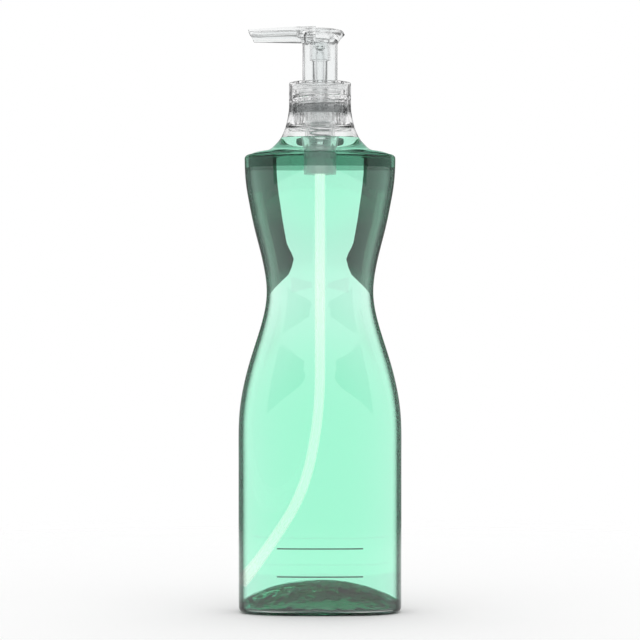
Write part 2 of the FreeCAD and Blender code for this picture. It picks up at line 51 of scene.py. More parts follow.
HIP_HEIGHT = 90.0
WAIST_HEIGHT = 159.0
SHOULDER_HEIGHT = 224.5
FOOT = (40.65, 22.0, 2.8)
WAIST = (26.65, 14.4, 2.4)
SHOULDER = (37.65, 20.3, 2.5)
HIP_TO_WAIST = (0.0435, 0.1775, 0.385, 0.643, 0.881, 1.0)
WAIST_TO_SHOULDER = (0.089, 0.305, 0.56, 0.766, 0.936, 1.0)
BOTTLE_WALL = 1.1
FLOOR_THICKNESS = 2.0
HEEL_ROUNDING = 3.0
RIDGE_HEIGHT = 229.6
RIDGE_ROUNDING = 1.6
CROWN_RADIUS = 437.0
PUSH_UP = (36.0, 17.0, 15.5)
LEDGE_HEIGHT = 242.0
LEDGE_RADIUS = 17.2
NECK_RADIUS = 12.65
NECK_BORE_RADIUS = 10.8
NECK_TOP = 260.6
THREAD_PITCH = 4.23
THREAD_START = 250.6
THREAD_TURNS = 1.75
THREAD_HEIGHT = 1.1
THREAD_HALF_WIDTH = 1.0
THREAD_FLANK = 0.5
THREAD_RUN_OUT = 0.06
FLARE_FOOT_WIDTH = 35.3
FLARE_FOOT_POWER = 2.2
FLARE_FOOT_SPREAD = 0.2
FLARE_ROWS = 40
FLARE_CROWN_FADE = 1.6
BODY_ROWS = 90
BODY_CROWN_FROM = 0.8
LEAST_ROUNDING = 0.4
PUSH_UP_ROWS = 16
NECK_ROWS = 80
NECK_ROW = 0.2225
AROUND = 160
ROUNDING_TURNS = [math.radians(15 * i) for i in range(7)]
FLARE = (
    (34.0, 228.9),
    (31.4, 229.65),
    (28.3, 230.15),
    (25.3, 230.95),
    (23.1, 232.65),
    (21.5, 234.3),
    (20.1, 236.0),
    (19.0, 237.9),
    (18.2, 239.7),
    (17.2, 242.0),
)


def stations():
    """Heights and (half width, half depth, power) at even steps up the body, one step beyond both ends."""
    step = HIP_HEIGHT / 8
    rows = [(step * i, FOOT) for i in range(-1, 9)]
    for low, high, start, end, shares in (
        (HIP_HEIGHT, WAIST_HEIGHT, FOOT, WAIST, HIP_TO_WAIST),
        (WAIST_HEIGHT, SHOULDER_HEIGHT, WAIST, SHOULDER, WAIST_TO_SHOULDER),
    ):
        for i, share in enumerate(shares, 1):
            height = low + (high - low) * i / len(shares)
            rows.append((height, tuple(a + (b - a) * share for a, b in zip(start, end))))
    rows.append((2 * rows[-1][0] - rows[-2][0], SHOULDER))
    return rows


def smooth_through(heights, values):
    """A function of height whose curve has no kink and passes through every value."""
    h = np.diff(heights)
    count = len(heights)
    system = np.eye(count)
    right = np.zeros(count)
    for i in range(1, count - 1):
        system[i, i - 1:i + 2] = h[i - 1], 2 * (h[i - 1] + h[i]), h[i]
        right[i] = 6 * ((values[i + 1] - values[i]) / h[i] - (values[i] - values[i - 1]) / h[i - 1])
    bend = np.linalg.solve(system, right)

    def at(height):
        i = min(max(int(np.searchsorted(heights, height)) - 1, 0), count - 2)
        a = (heights[i + 1] - height) / h[i]
        b = 1 - a
        curve = (a ** 3 - a) * bend[i] + (b ** 3 - b) * bend[i + 1]
        return a * values[i] + b * values[i + 1] + curve * h[i] ** 2 / 6

    return at


station_heights = [row[0] for row in stations()]
half_width, half_depth, squareness = (
    smooth_through(station_heights, [row[1][i] for row in stations()]) for i in range(3)
)


def crown_drop(width):
    """How far the shoulder's crown has fallen at a distance from its middle."""
    return width ** 2 / (2 * CROWN_RADIUS)


def crowned(width, depth, power, top):
    """A plan outline that lies on the shoulder's crown: highest in the middle, lower at both sides."""
    lift = crown_drop(width)
    return (width, depth, power, top - lift, lift)


def body_outlines(inset, bottom):
    """The body's outlines from the standing ring to the foot of the flare, moved in by inset."""
    heel = HEEL_ROUNDING - inset
    rows = []
    for turn in ROUNDING_TURNS:
        back = heel * (1 - math.sin(turn)) + inset
        rows.append((FOOT[0] - back, FOOT[1] - back, FOOT[2], bottom + heel * (1 - math.cos(turn)), 0))
    top = RIDGE_HEIGHT - inset
    ridge = max(RIDGE_ROUNDING - inset, LEAST_ROUNDING)
    low = bottom + heel
    high = top - ridge
    for i in range(1, BODY_ROWS + 1):
        share = i / BODY_ROWS
        height = low + (high - low) * share
        lift = crown_drop(half_width(height)) * max(0, share - BODY_CROWN_FROM) / (1 - BODY_CROWN_FROM)
        wide = half_width(height - lift) - inset
        rows.append((wide, half_depth(height - lift) - inset, squareness(height), height - lift, lift))
    wide, deep, power = SHOULDER
    for turn in ROUNDING_TURNS[1:]:
        back = ridge * (1 - math.cos(turn)) + inset
        rows.append(crowned(wide - back, deep - back, power, high + ridge * math.sin(turn)))
    return rows


def flare_outlines(inset):
    """From the crown up to the ledge under the closure."""
    foot_width = FLARE_FOOT_WIDTH - inset + FLARE_FOOT_SPREAD
    foot_depth = LEDGE_RADIUS - inset + FLARE_FOOT_SPREAD
    rows = [crowned(foot_width, foot_depth, FLARE_FOOT_POWER, RIDGE_HEIGHT - inset)]
    path = [(FLARE_FOOT_WIDTH, RIDGE_HEIGHT - crown_drop(FLARE_FOOT_WIDTH))] + list(FLARE)
    along = np.concatenate([[0], np.cumsum([math.dist(p, q) for p, q in zip(path, path[1:])])])
    width_at = smooth_through(along, [p[0] for p in path])
    height_at = smooth_through(along, [p[1] for p in path])
    for i in range(FLARE_ROWS + 1):
        share = i / FLARE_ROWS
        wide = width_at(share * along[-1])
        lift = crown_drop(FLARE_FOOT_WIDTH) * max(0, 1 - FLARE_CROWN_FADE * share) ** 2
        power = FLARE_FOOT_POWER + (2 - FLARE_FOOT_POWER) * share
        height = height_at(share * along[-1]) - inset
        rows.append((wide - inset, LEDGE_RADIUS - inset, power, height, lift))
    return rows


def push_up_outlines(grow, bottom):
    """The pushed-up floor, from its middle down to the level of bottom."""
    wide, deep, high = (size + grow for size in PUSH_UP)
    rows = []
    last = math.acos(bottom / high)
    for i in range(PUSH_UP_ROWS + 1):
        turn = last * i / PUSH_UP_ROWS
        rows.append((wide * math.sin(turn), deep * math.sin(turn), 2.0, high * math.cos(turn), 0))
    return rows


def round_outlines(*profile):
    """Round outlines from points of (radius, height)."""
    return [(radius, radius, 2.0, height, 0) for radius, height in profile]


def thread_height(turn, height, start, turns):
    """How far a right-handed thread stands out at a bearing and height: 0 between coils, 1 on a crest."""
    coil = round((height - start) / THREAD_PITCH - turn / (2 * math.pi))
    along = turn / (2 * math.pi) + coil
    off_centre = abs(height - start - THREAD_PITCH * along)
    flank = min(max((THREAD_HALF_WIDTH - off_centre) / THREAD_FLANK, 0), 1)
    run_in = min(max(along / THREAD_RUN_OUT, 0), 1)
    run_out = min(max((turns - along) / THREAD_RUN_OUT, 0), 1)
    return flank * run_in * run_out


def neck_thread(wide, turn, height):
    """The neck's thread stands out from its straight part alone."""
    if wide != NECK_RADIUS:
        return 0
    return THREAD_HEIGHT * thread_height(turn, height, THREAD_START, THREAD_TURNS)


def polish(piece, angle):
    """Smooth shading that breaks at edges sharper than angle, and leaves large faces flat."""
    bpy.ops.object.shade_smooth_by_angle(angle=math.radians(angle))
    bpy.ops.object.modifier_add(type="WEIGHTED_NORMAL")
    piece.modifiers[-1].weight = 100
    piece.modifiers[-1].keep_sharp = True
    bpy.ops.object.modifier_apply(modifier=piece.modifiers[-1].name)


def drawn_skin(name, outlines, relief=None):
    """A grid wrapped into a tube, with each row drawn out to its plan outline, and both ends closed.
    Relief says how far the skin stands out or in at a bearing and height."""
    bpy.ops.object.select_all(action="DESELECT")
    rows = len(outlines) - 1
    bpy.ops.mesh.primitive_grid_add(x_subdivisions=AROUND, y_subdivisions=rows, size=2)
    piece = bpy.context.object
    piece.name = name
    for vertex in piece.data.vertices:
        turn = math.pi * (vertex.co.x + 1)
        wide, deep, power, height, lift = outlines[round((vertex.co.y + 1) / 2 * rows)]
        c = math.cos(turn)
        s = math.sin(turn)
        k = (abs(c) ** power + abs(s) ** power) ** (-1 / power)
        if relief:
            out = relief(wide, turn, height)
            wide += out
            deep += out
        vertex.co = (wide * c * k * MM, deep * s * k * MM, (height + lift * (1 - (c * k) ** 2)) * MM)
    bpy.ops.object.mode_set(mode="EDIT")
    bpy.ops.mesh.select_all(action="SELECT")
    bpy.ops.mesh.remove_doubles(threshold=1e-6)
    bpy.ops.mesh.normals_make_consistent(inside=False)
    bpy.ops.object.mode_set(mode="OBJECT")
    polish(piece, 40)
    return piece


outer = push_up_outlines(0, 0.0)
outer += body_outlines(0, 0.0)
outer += flare_outlines(0)
outer += round_outlines(
    (LEDGE_RADIUS - 0.1, LEDGE_HEIGHT + 0.02),
    (NECK_RADIUS + 0.5, LEDGE_HEIGHT + 0.02),
    (NECK_RADIUS + 0.15, LEDGE_HEIGHT + 0.15),
    *((NECK_RADIUS, LEDGE_HEIGHT + 0.5 + NECK_ROW * i) for i in range(NECK_ROWS + 1)),
    (NECK_RADIUS - 0.1, NECK_TOP - 0.1),
    (NECK_RADIUS - 0.3, NECK_TOP),
)
inner = round_outlines(
    (NECK_BORE_RADIUS + 0.2, NECK_TOP),
    (NECK_BORE_RADIUS + 0.06, NECK_TOP - 0.06),
    (NECK_BORE_RADIUS, NECK_TOP - 0.2),
    (NECK_BORE_RADIUS, LEDGE_HEIGHT - 0.5),
    (NECK_BORE_RADIUS + 0.2, LEDGE_HEIGHT - 0.9),
    (NECK_BORE_RADIUS + 0.6, LEDGE_HEIGHT - BOTTLE_WALL),
)
inner += flare_outlines(BOTTLE_WALL)[::-1]
inner += body_outlines(BOTTLE_WALL, FLOOR_THICKNESS)[::-1]
inner += push_up_outlines(BOTTLE_WALL, FLOOR_THICKNESS)[::-1]
bottle = drawn_skin("bottle_shell", outer + inner, neck_thread)
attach(bottle, "bottle_body")
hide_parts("bottle")


class Value:
    """A socket that can be reckoned with: each sum adds its Math node."""

    def __init__(self, finish, socket):
        self.finish = finish
        self.socket = socket

    def reckoned(self, operation, first, second):
        node = self.finish.node("ShaderNodeMath", {"operation": operation}, {0: first, 1: second})
        return Value(self.finish, node.outputs[0])

    def __add__(self, other):
        return self.reckoned("ADD", self, other)

    def __radd__(self, other):
        return self.reckoned("ADD", other, self)

    def __sub__(self, other):
        return self.reckoned("SUBTRACT", self, other)

    def __rsub__(self, other):
        return self.reckoned("SUBTRACT", other, self)

    def __mul__(self, other):
        return self.reckoned("MULTIPLY", self, other)

    def __rmul__(self, other):
        return self.reckoned("MULTIPLY", other, self)


class Finish:
    """A material or world whose nodes come from one method."""

    def __init__(self, owner):
        owner.use_nodes = True
        self.tree = owner.node_tree
        self.tree.nodes.clear()

    def node(self, kind, settings, sockets):
        made = self.tree.nodes.new(kind)
        for key, value in settings.items():
            setattr(made, key, value)
        for key, value in sockets.items():
            if isinstance(value, Value):
                self.tree.links.new(value.socket, made.inputs[key])
            else:
                made.inputs[key].default_value = value
        return made

    def value(self, kind, settings, sockets, output=0):
        return Value(self, self.node(kind, settings, sockets).outputs[output])

    def smooth_step(self, value, start, end):
        """0 up to start, 1 from end on, with a soft rise between them."""
        return self.value(
            "ShaderNodeMapRange",
            {"interpolation_type": "SMOOTHSTEP"},
            {"Value": value, "From Min": start, "From Max": end},
        )

    def band(self, value, low, high, soft):
        """1 between low and high, 0 outside, with soft edges."""
        return self.smooth_step(value, low - soft, low) * (1 - self.smooth_step(value, high, high + soft))

    def tinted(self, share, colour, tint):
        """The colour, changed to the tint by a share."""
        return self.value("ShaderNodeMix", {"data_type": "RGBA"}, {0: share, 6: colour, 7: tint}, 2)


NO_END = 1.0
# Share of the painted edge shade taken off above its height.
PAINTED_EDGE_SHADE_FADE = 0.85


def clear_plastic(name, colour, ior, roughness, waviness, painted_edge_shade=None, wall=None):
    """Clear moulded plastic: polished, with the faint waviness and cloudier patches of a cooled skin.
    The painted edge shade is (where it starts, where it is full, colour), from 0 face on to 1 edge on, and
    may end with the height above which it fades: a dark tint painted in towards the edges. The painted wall
    shade, where given, is a function that paints shade into the colour by place and may change the normal."""
    material = bpy.data.materials.new(name)
    finish = Finish(material)
    place = finish.value("ShaderNodeTexCoord", {}, {}, "Object")
    waves = finish.value("ShaderNodeTexNoise", {}, {"Vector": place, "Scale": 70.0, "Detail": 1.0})
    normal = finish.value("ShaderNodeBump", {}, {"Height": waves, "Strength": waviness, "Distance": 0.001})
    sockets = {
        "Base Color": colour,
        "Roughness": roughness,
        "IOR": ior,
        "Transmission Weight": 1.0,
        "Normal": normal,
    }
    if roughness:
        cloud = finish.value("ShaderNodeTexNoise", {}, {"Vector": place, "Scale": 300.0, "Detail": 2.0})
        sockets["Roughness"] = cloud * roughness + 0.5 * roughness
    # Painted shade: the colour darkens towards the edges, where they are seen edge on.
    if painted_edge_shade:
        facing = finish.value("ShaderNodeLayerWeight", {}, {"Blend": 0.5}, "Facing")
        edge = finish.smooth_step(facing, painted_edge_shade[0], painted_edge_shade[1])
        if len(painted_edge_shade) > 3:
            height = finish.value("ShaderNodeSeparateXYZ", {}, {0: place}, "Z")
            edge = edge * (1 - PAINTED_EDGE_SHADE_FADE * finish.band(height, painted_edge_shade[3], NO_END, 0.001))
        sockets["Base Color"] = finish.tinted(edge, colour, painted_edge_shade[2])
    # Painted shade: the function given last tints the colour by place.
    if wall:
        sockets["Base Color"], sockets["Normal"] = wall(finish, place, sockets["Base Color"], normal)
    surface = finish.value("ShaderNodeBsdfPrincipled", {}, sockets)
    finish.node("ShaderNodeOutputMaterial", {}, {"Surface": surface})
    return material


# Painted shade: the bottle's colour is greyed in a band at the shoulder and darkened green over the
# pushed-up floor.
SHOULDER_BAND = (0.2219, 0.2285)
SHOULDER_PAINTED_SHADE = (0.45, 0.56, 0.52, 1)
PUSH_UP_OVAL = (0.0385, 0.0198)
PUSH_UP_PAINTED_SHADE_TOP = 0.0185
PUSH_UP_PAINTED_SHADE = (0.08, 0.44, 0.28, 1)
# Painted shade: a near black edge tint on the bottle, faded above the shoulder.
BOTTLE_PAINTED_EDGE_SHADE = (0.26, 0.52, (0.02, 0.024, 0.022, 1), SHOULDER_BAND[1])


def oval(finish, place, half_size):
    """Distance from the bottle's axis, as a share of an oval's edge."""
    scale = (1 / half_size[0], 1 / half_size[1], 0.0)
    squashed = finish.value("ShaderNodeMapping", {}, {"Vector": place, "Scale": scale})
    return finish.value("ShaderNodeVectorMath", {"operation": "LENGTH"}, {0: squashed}, "Value")


def wall_painted_shade_and_bumps(finish, place, clear, normal):
    """Painted shade in the wall's colour: a grey band where it turns in at the shoulder, and dark green
    over the pushed-up floor, whose normal is also made bumpy.
    """
    height = finish.value("ShaderNodeSeparateXYZ", {}, {0: place}, "Z")
    shoulder = finish.band(height, *SHOULDER_BAND, 0.0006)
    pushed_up = finish.band(oval(finish, place, PUSH_UP_OVAL), -NO_END, 0.96, 0.04)
    pushed_up = pushed_up * finish.band(height, -NO_END, PUSH_UP_PAINTED_SHADE_TOP, 0.001)
    colour = finish.tinted(pushed_up, finish.tinted(shoulder, clear, SHOULDER_PAINTED_SHADE), PUSH_UP_PAINTED_SHADE)
    folds = finish.value("ShaderNodeTexNoise", {}, {"Vector": place, "Scale": 160.0, "Detail": 1.0})
    sockets = {"Height": folds * pushed_up, "Strength": 0.8, "Distance": 0.003, "Normal": normal}
    return colour, finish.value("ShaderNodeBump", {}, sockets)


bottle.data.materials.append(
    clear_plastic("clear_bottle_plastic", (1, 1, 1, 1), 1.5, 0.0, 0.02, BOTTLE_PAINTED_EDGE_SHADE, wall_painted_shade_and_bumps)
)


# Dish soap: a clear mint green liquid that wets the wall, up to a level in the flare. Its skin lies a
# little inside the wall's plastic, so that no air shows between the two. The pump's chamber holds none.

SOAP_LEVEL = 236.3
INTO_WALL = 0.15
CHAMBER_HOLLOW = 7.2
CHAMBER_BOTTOM = 225.5
# Painted shade on the soap's open surface: its dark tint, and how much of the surface it covers.
SURFACE_PAINTED_SHADE = (0.28, 0.42, 0.36, 1)
SURFACE_PAINTED_SHADE_COVER = 0.75

soap_inset = BOTTLE_WALL - INTO_WALL
soap_floor = FLOOR_THICKNESS - INTO_WALL
soap_outlines = push_up_outlines(soap_inset, soap_floor)
soap_outlines += body_outlines(soap_inset, soap_floor)
soap_outlines += [row for row in flare_outlines(soap_inset) if row[3] < SOAP_LEVEL - 0.4]
rim_width = soap_outlines[-1][0] - 0.3
rim_depth = soap_outlines[-1][1]
soap_outlines += [
    (rim_width - 0.1, rim_depth, 2.0, SOAP_LEVEL + 0.1, 0),
    (rim_width - 0.3, rim_depth - 0.5, 2.0, SOAP_LEVEL + 0.02, 0),
    (rim_width - 1.0, rim_depth - 1.2, 2.0, SOAP_LEVEL, 0),
    (CHAMBER_HOLLOW, CHAMBER_HOLLOW, 2.0, SOAP_LEVEL, 0),
    (CHAMBER_HOLLOW, CHAMBER_HOLLOW, 2.0, CHAMBER_BOTTOM, 0),
    (0.0, 0.0, 2.0, CHAMBER_BOTTOM, 0),
]
soap = drawn_skin("soap_filling", soap_outlines)
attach(soap, "bottle_body")
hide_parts("dish_soap")

soap_material = bpy.data.materials.new("mint_soap")
soap_finish = Finish(soap_material)
place = soap_finish.value("ShaderNodeTexCoord", {}, {}, "Object")
height = soap_finish.value("ShaderNodeSeparateXYZ", {}, {0: place}, "Z")
open_surface = soap_finish.band(height, (SOAP_LEVEL - 0.03) * MM, NO_END, 0.00002)
liquid = soap_finish.value(
    "ShaderNodeBsdfPrincipled",
    {},
    {"Base Color": (1, 1, 1, 1), "Roughness": 0.0, "IOR": 1.35, "Transmission Weight": 1.0},
)
# Painted shade: the open surface is partly a dark see-through tint, standing in for the dark lens that the
# surface shows.
darker = soap_finish.value("ShaderNodeBsdfTransparent", {}, {"Color": SURFACE_PAINTED_SHADE})
cover = open_surface * SURFACE_PAINTED_SHADE_COVER
liquid = soap_finish.value("ShaderNodeMixShader", {}, {0: cover, 1: liquid, 2: darker})
absorption = soap_finish.value(
    "ShaderNodeVolumeAbsorption", {}, {"Color": (0.0, 0.97, 0.62, 1), "Density": 24.0}
)
soap_finish.node("ShaderNodeOutputMaterial", {}, {"Surface": liquid, "Volume": absorption})
soap.data.materials.append(soap_material)


# Neck ribs: short upright ribs in a ring under the thread, moulded with the neck in the bottle's clear
# plastic. They grip the closure, so that it doesn't work loose.

RIB_COUNT = 36
RIB_BOTTOM = 244.4
RIB_TOP = 248.6
RIB_PROUD = 0.6
RIB_HALF_WIDTH = 0.32
RIB_TAPER = 0.6
RIB_EDGE = 0.12
RIB_ROOT = -0.1

bpy.ops.object.select_all(action="DESELECT")
bpy.ops.mesh.primitive_cube_add(size=1, location=(0, 0, 0))
rib = bpy.context.object
for vertex in rib.data.vertices:
    vertex.co.x = (NECK_RADIUS + (RIB_PROUD if vertex.co.x > 0 else RIB_ROOT)) * MM
    vertex.co.y *= 2 * RIB_HALF_WIDTH * (RIB_TAPER if vertex.co.x > NECK_RADIUS * MM else 1) * MM
    vertex.co.z = (RIB_TOP if vertex.co.z > 0 else RIB_BOTTOM) * MM
bpy.ops.object.modifier_add(type="BEVEL")
rib.modifiers[-1].width = RIB_EDGE * MM
rib.modifiers[-1].segments = 2
bpy.ops.object.modifier_apply(modifier=rib.modifiers[-1].name)
bpy.ops.object.mode_set(mode="EDIT")
bpy.ops.mesh.select_all(action="SELECT")
for i in range(1, RIB_COUNT):
    bpy.ops.mesh.duplicate()
    bpy.ops.transform.rotate(value=2 * math.pi / RIB_COUNT, orient_axis="Z", center_override=(0, 0, 0))
bpy.ops.object.mode_set(mode="OBJECT")
rib.name = "neck_ribs"
polish(rib, 30)
rib.data.materials.append(bottle.data.materials[0])
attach(rib, "bottle_body")


# Collar: the screw closure, moulded in clear plastic. Its skirt carries on the flare of the bottle, and
# its thread runs in the gaps of the neck's thread.

COLLAR_BOTTOM = 242.3
COLLAR_STRAIGHT = 253.5
COLLAR_RADIUS = 15.45
COLLAR_BORE = 14.0
COLLAR_FLARE = 1.75
COLLAR_HOLE = 9.25
COLLAR_UNDERSIDE = 263.3
COLLAR_TOP = 264.8
COLLAR_EDGE_TOP = 264.3
COLLAR_ROUNDING = 0.6
COLLAR_THREAD_HEIGHT = 1.05
COLLAR_BORE_ROWS = 70
COLLAR_BORE_ROW = 0.2
FLARE_STEPS = 24
FLARE_SWEEP = 1.85

collar_profile = [
    (COLLAR_BORE + 1.7, COLLAR_BOTTOM + 0.05),
    (COLLAR_RADIUS + COLLAR_FLARE - 0.1, COLLAR_BOTTOM),
]
for i in range(FLARE_STEPS + 1):
    share = i / FLARE_STEPS
    out = COLLAR_FLARE * (1 - share) ** FLARE_SWEEP
    height = COLLAR_BOTTOM + 0.1 + (COLLAR_STRAIGHT - COLLAR_BOTTOM - 0.1) * share
    collar_profile.append((COLLAR_RADIUS + out, height))
for turn in ROUNDING_TURNS:
    radius = COLLAR_RADIUS - COLLAR_ROUNDING * (1 - math.cos(turn))
    collar_profile.append((radius, COLLAR_EDGE_TOP - COLLAR_ROUNDING * (1 - math.sin(turn))))
collar_profile += [
    (COLLAR_HOLE + 0.25, COLLAR_TOP),
    (COLLAR_HOLE + 0.08, COLLAR_TOP - 0.06),
    (COLLAR_HOLE, COLLAR_TOP - 0.2),
    (COLLAR_HOLE, COLLAR_UNDERSIDE + 0.15),
    (COLLAR_HOLE + 0.15, COLLAR_UNDERSIDE),
    (COLLAR_BORE - 0.3, COLLAR_UNDERSIDE),
    (COLLAR_BORE - 0.08, COLLAR_UNDERSIDE - 0.08),
]
for i in range(COLLAR_BORE_ROWS):
    collar_profile.append((COLLAR_BORE, COLLAR_UNDERSIDE - 0.3 - COLLAR_BORE_ROW * i))
collar_profile += [(COLLAR_BORE + 1.7, COLLAR_BOTTOM + 0.05)]


def collar_thread(wide, turn, height):
    """The closure's thread stands in from its bore, half a pitch above the neck's."""
    if wide != COLLAR_BORE:
        return 0
    start = THREAD_START + THREAD_PITCH / 2
    return -COLLAR_THREAD_HEIGHT * thread_height(turn, height, start, THREAD_TURNS - 0.25)


collar = drawn_skin("collar_closure", round_outlines(*collar_profile), collar_thread)
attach(collar, "collar_body")
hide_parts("collar")


# Painted shade: a grey band in the collar's colour under its thread.
THREAD_FOOT = (0.2486, 0.2528)
THREAD_FOOT_PAINTED_SHADE = (0.5, 0.51, 0.51, 1)
# Painted shade: a grey edge tint on the collar, head and stem.
PUMP_PAINTED_EDGE_SHADE = (0.72, 0.97, (0.3, 0.3, 0.3, 1))
PUMP_IOR = 1.3


def thread_foot_painted_shade(finish, place, clear, normal):
    """Painted shade: the closure's colour is greyed in a band below its thread."""
    height = finish.value("ShaderNodeSeparateXYZ", {}, {0: place}, "Z")
    return finish.tinted(finish.band(height, *THREAD_FOOT, 0.0004), clear, THREAD_FOOT_PAINTED_SHADE), normal


collar.data.materials.append(
    clear_plastic("clear_collar_plastic", (1, 1, 1, 1), PUMP_IOR, 0.01, 0.01, PUMP_PAINTED_EDGE_SHADE, thread_foot_painted_shade)
)


# Neck gasket: a soft milky ring, stamped from foam sheet. The closure squeezes it between the neck's lip
# and the pump's flange.

GASKET_BORE = 11.0
GASKET_RADIUS = 13.3
GASKET_THICKNESS = 1.0
TURNED_STEPS = 96


def turned(name, profile, edge=0.12):
    """A closed profile of (radius, height) points spun about the pump's axis, its edges eased."""
    bpy.ops.object.select_all(action="DESELECT")
    bpy.ops.mesh.primitive_circle_add(vertices=len(profile), radius=1, fill_type="NOTHING")
    piece = bpy.context.object
    piece.name = name
    for vertex, (radius, height) in zip(piece.data.vertices, profile):
        vertex.co = (radius * MM, 0, height * MM)
    bpy.ops.object.mode_set(mode="EDIT")
    bpy.ops.mesh.select_all(action="SELECT")
    bpy.ops.mesh.spin(steps=TURNED_STEPS, angle=2 * math.pi, center=(0, 0, 0), axis=(0, 0, 1))
    bpy.ops.mesh.select_all(action="SELECT")
    bpy.ops.mesh.remove_doubles(threshold=1e-6)
    bpy.ops.mesh.normals_make_consistent(inside=False)
    bpy.ops.object.mode_set(mode="OBJECT")
    bpy.ops.object.modifier_add(type="BEVEL")
    piece.modifiers[-1].width = edge * MM
    piece.modifiers[-1].segments = 2
    piece.modifiers[-1].limit_method = "ANGLE"
    piece.modifiers[-1].angle_limit = math.radians(25)
    bpy.ops.object.modifier_apply(modifier=piece.modifiers[-1].name)
    polish(piece, 30)
    return piece


def milky_plastic(name, colour, solid, edge_solid, painted_glow, lower=None):
    """Thin milky plastic: part of the light goes straight through, more so where it is seen face on. Its
    glow is painted light: an emission in its own colour.
    Lower is (the height below which it lies in the soap, its colour there, how much more solid); that
    colour is painted shade, a grey for the plastic seen through the soap."""
    material = bpy.data.materials.new(name)
    finish = Finish(material)
    place = finish.value("ShaderNodeTexCoord", {}, {}, "Object")
    streaks = finish.value("ShaderNodeMapping", {}, {"Vector": place, "Scale": (900.0, 900.0, 60.0)})
    grain = finish.value("ShaderNodeTexNoise", {}, {"Vector": streaks, "Scale": 1.0, "Detail": 2.0})
    skin_colour = colour
    more_solid = 0.0
    if lower:
        # Painted shade below the given height.
        height = finish.value("ShaderNodeSeparateXYZ", {}, {0: place}, "Z")
        deep = 1 - finish.band(height, lower[0], NO_END, 0.001)
        skin_colour = finish.tinted(deep, colour, lower[1])
        more_solid = deep * lower[2]
    # Painted light: the plastic glows in its own colour, paler than its lighting makes it.
    skin = finish.value(
        "ShaderNodeBsdfPrincipled",
        {},
        {
            "Base Color": skin_colour,
            "Roughness": 0.3 + grain * 0.15,
            "IOR": 1.5,
            "Emission Color": colour,
            "Emission Strength": painted_glow,
        },
    )
    clear = finish.value("ShaderNodeBsdfTransparent", {}, {"Color": (1, 1, 1, 1)})
    facing = finish.value("ShaderNodeLayerWeight", {}, {"Blend": 0.5}, "Facing")
    cover = facing * facing * (edge_solid - solid) + solid + grain * 0.06 + more_solid
    mixed = finish.value("ShaderNodeMixShader", {}, {0: cover, 1: clear, 2: skin})
    finish.node("ShaderNodeOutputMaterial", {}, {"Surface": mixed})
    return material


gasket = turned(
    "neck_gasket_ring",
    (
        (GASKET_BORE, NECK_TOP),
        (GASKET_RADIUS, NECK_TOP),
        (GASKET_RADIUS, NECK_TOP + GASKET_THICKNESS),
        (GASKET_BORE, NECK_TOP + GASKET_THICKNESS),
    ),
)
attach(gasket, "pump_body")
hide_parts("neck_gasket")
gasket.data.materials.append(milky_plastic("milky_gasket", (0.85, 0.86, 0.86, 1), 0.25, 0.5, 0.3))


# Pump housing: a clear satin cup and barrel in one moulding. Its flange hangs on the neck's lip, and
# its floor holds the inlet valve and the socket of the dip tube.

FLANGE_TOP = 263.2
FLANGE_RADIUS = 13.6
FLANGE_THICKNESS = 1.6
CUP_FLOOR = 250.2
CUP_RADIUS = 10.45
CUP_BORE = 9.2
BARREL_RADIUS = 7.75
BARREL_BORE = 6.6
BARREL_BOTTOM = 218.5
SEAT_HEIGHT = 224.6
SEAT_BORE = 1.4
SOCKET_RADIUS = 3.9
SOCKET_BORE = 2.5
CAGE_BORE = 2.4
CAGE_MOUTH = 1.9
CAGE_RADIUS = 3.5
FLOOR_TOP = SEAT_HEIGHT + 1.6
CAGE_TOP = SEAT_HEIGHT + 5.0
# Painted shade: the housing is greyed, and made more solid, below the soap's level.
HOUSING_PAINTED_SHADE_IN_SOAP = (0.2325, (0.42, 0.47, 0.45, 1), 0.3)

housing = turned(
    "pump_housing_body",
    (
        (CUP_BORE, FLANGE_TOP),
        (FLANGE_RADIUS, FLANGE_TOP),
        (FLANGE_RADIUS, FLANGE_TOP - FLANGE_THICKNESS),
        (CUP_RADIUS, FLANGE_TOP - FLANGE_THICKNESS),
        (CUP_RADIUS, CUP_FLOOR - 0.2),
        (CUP_RADIUS - 1.0, CUP_FLOOR - 1.2),
        (BARREL_RADIUS, CUP_FLOOR - 1.2),
        (BARREL_RADIUS, BARREL_BOTTOM),
        (BARREL_BORE, BARREL_BOTTOM),
        (BARREL_BORE, SEAT_HEIGHT),
        (SOCKET_RADIUS, SEAT_HEIGHT),
        (SOCKET_RADIUS, BARREL_BOTTOM),
        (SOCKET_BORE, BARREL_BOTTOM),
        (SOCKET_BORE, SEAT_HEIGHT - 1.6),
        (SEAT_BORE, SEAT_HEIGHT - 1.6),
        (SEAT_BORE, SEAT_HEIGHT),
        (CAGE_BORE, SEAT_HEIGHT + 1.0),
        (CAGE_BORE, CAGE_TOP - 1.5),
        (CAGE_MOUTH, CAGE_TOP - 1.0),
        (CAGE_MOUTH, CAGE_TOP - 0.5),
        (CAGE_BORE, CAGE_TOP),
        (CAGE_RADIUS, CAGE_TOP),
        (CAGE_RADIUS, FLOOR_TOP),
        (BARREL_BORE, FLOOR_TOP),
        (BARREL_BORE, CUP_FLOOR),
        (CUP_BORE, CUP_FLOOR),
    ),
)
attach(housing, "pump_body")
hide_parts("pump_housing")
housing.data.materials.append(
    milky_plastic("satin_housing_plastic", (0.92, 0.94, 0.94, 1), 0.1, 0.5, 0.25, HOUSING_PAINTED_SHADE_IN_SOAP)
)


# Stem guide: a ring moulded in clear plastic and snapped into the barrel's mouth. The stem slides in its
# sleeve, and its lower edge stops the piston.

GUIDE_BORE = 4.06
GUIDE_BOTTOM = 248.6
GUIDE_TOP = 256.7
GUIDE_SLEEVE = 5.6
GUIDE_RIM = 7.35
GUIDE_RIM_TOP = CUP_FLOOR + 1.2

